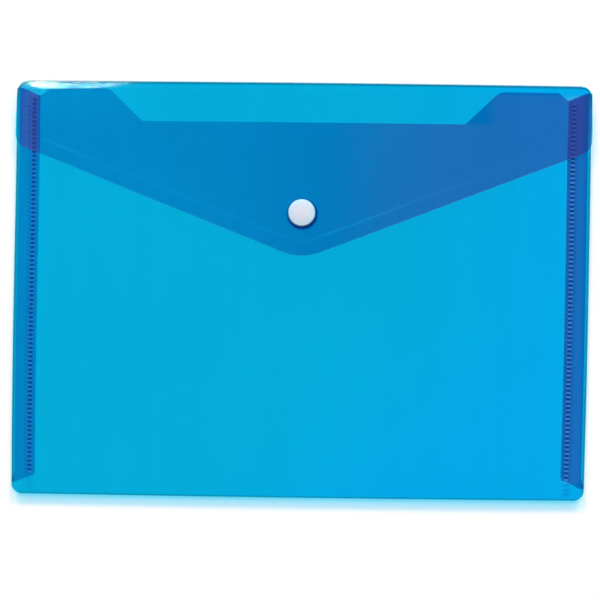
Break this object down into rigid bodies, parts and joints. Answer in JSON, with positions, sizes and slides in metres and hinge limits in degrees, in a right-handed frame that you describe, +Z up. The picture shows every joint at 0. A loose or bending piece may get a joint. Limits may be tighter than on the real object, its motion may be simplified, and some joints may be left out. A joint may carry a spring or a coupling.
{
  "type": "document wallet",
  "caption": "Landscape translucent wallet for A4 papers: a flat pocket with welded sides and a thumb cut, closed by a pointed flap with a press stud.",
  "frame": {"origin": "on the table, under the middle of the closed wallet", "axes": "+X across the wallet to the right, +Y from the bottom fold to the flap's fold, +Z up, from the back panel to the flap"},
  "size_m": [0.332, 0.24, 0.0096],
  "materials": {
    "blue_sheet": "translucent polypropylene sheet, faintly satin",
    "weld_blue": "sheet fused by ultrasonic welding",
    "snap_white": "moulded, semi-gloss"
  },
  "bodies": {
    "pocket": {"back_panel": "blue_sheet", "bottom_fold": "blue_sheet", "front_panel": "blue_sheet", "left_side_fold": "blue_sheet", "right_side_fold": "blue_sheet", "left_tab": "blue_sheet", "right_tab": "blue_sheet", "left_weld": "weld_blue", "right_weld": "weld_blue", "snap_stud": "snap_white", "snap_inner_cap": "snap_white"},
    "spine": {"spine": "blue_sheet"},
    "flap": {"shoulder": "blue_sheet", "flap": "blue_sheet", "snap_cap": "snap_white", "snap_socket": "snap_white"}
  },
  "joints": [
    {"name": "spine_fold", "type": "hinge", "parent": "pocket", "child": "spine", "pos_m": [0, 0.1199, 0.0001], "axis": [-1, 0, 0], "range_deg": [0, 79.8]},
    {"name": "flap_fold", "type": "hinge", "parent": "spine", "child": "flap", "pos_m": [0, 0.1189, 0.0059], "axis": [-1, 0, 0], "range_deg": [0, 98.9]}
  ]
}
